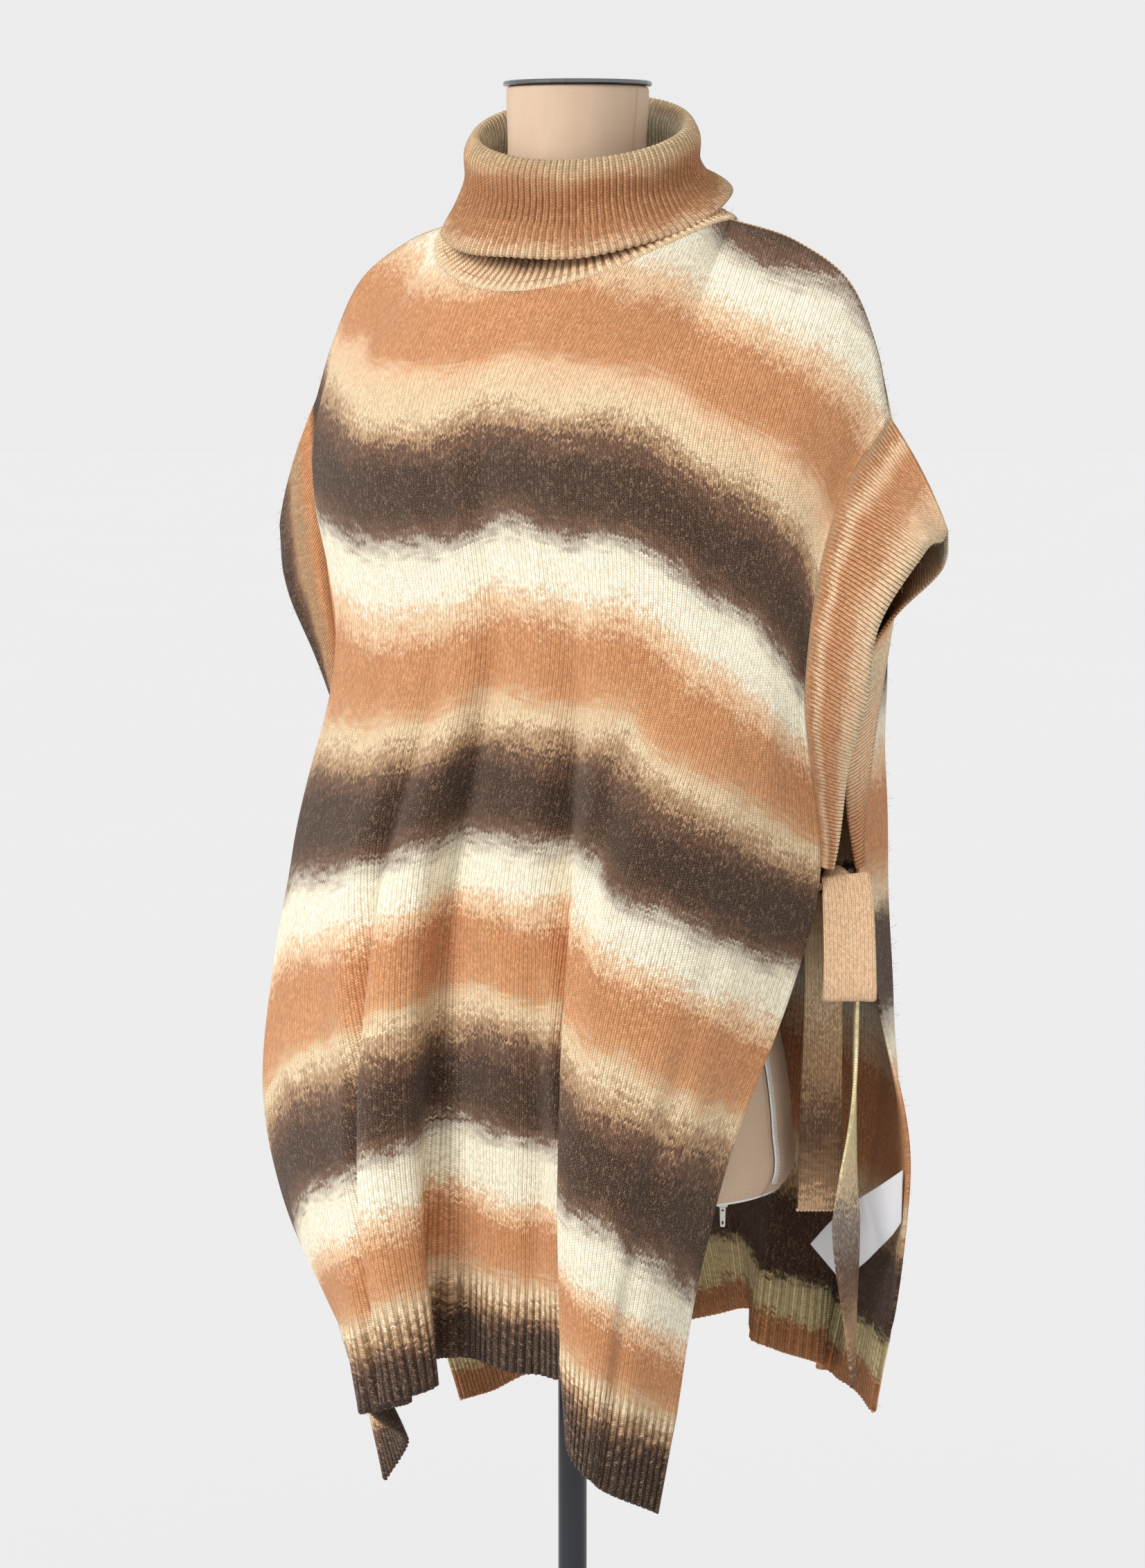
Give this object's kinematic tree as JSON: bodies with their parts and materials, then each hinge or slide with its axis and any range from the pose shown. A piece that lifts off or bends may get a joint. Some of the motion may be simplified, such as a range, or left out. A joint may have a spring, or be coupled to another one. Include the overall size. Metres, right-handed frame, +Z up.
{
  "type": "sleeveless turtleneck poncho sweater on a limbless dress form",
  "caption": "Sleeveless roll-neck poncho sweater in brushed ombre-striped knit, open at the sides and tied, shown on a plain dress form with a pole and round base",
  "frame": {"origin": "centre of the base plate's underside, on the pole's axis", "axes": "+Z up the pole; the form faces -Y and the wearer's left is +X"},
  "size_m": [0.6074, 0.3926, 1.52],
  "materials": {
    "striped_knit": "brushed wool-blend knit in soft rust, beige, dark brown and cream stripes, slightly fuzzy",
    "tie_knit": "narrow flat knit in the same melange yarn",
    "label_satin": "plain white satin, blank",
    "form_linen": "fine beige twill, drum-tight over the form",
    "zip_tape": "off-white woven tape",
    "zip_metal": "off-white enamelled zip slider and pull",
    "cap_steel": "polished steel disc",
    "pole_paint": "satin black lacquer"
  },
  "bodies": {
    "stand": {"front_panel": "striped_knit", "back_panel": "striped_knit", "collar": "striped_knit", "armband_left": "striped_knit", "armband_right": "striped_knit", "bow_loop_left": "tie_knit", "short_tail_left": "tie_knit", "long_tail_left": "tie_knit", "front_tie_left": "tie_knit", "back_tie_left": "tie_knit", "knot_left": "tie_knit", "bow_loop_right": "tie_knit", "short_tail_right": "tie_knit", "long_tail_right": "tie_knit", "front_tie_right": "tie_knit", "back_tie_right": "tie_knit", "knot_right": "tie_knit", "care_label": "label_satin", "dress_form": "form_linen", "form_zip_tape": "zip_tape", "form_zip_slider": "zip_metal", "neck_cap": "cap_steel", "pole": "pole_paint", "base_plate": "pole_paint"},
    "zip_pull": {"form_zip_pull": "zip_metal"}
  },
  "joints": [
    {"name": "zip_pull_swing", "type": "hinge", "parent": "stand", "child": "zip_pull", "pos_m": [0.146, -0.02, 0.6885], "axis": [0.8387, 0.5446, 0], "range_deg": [-75, 75]}
  ]
}
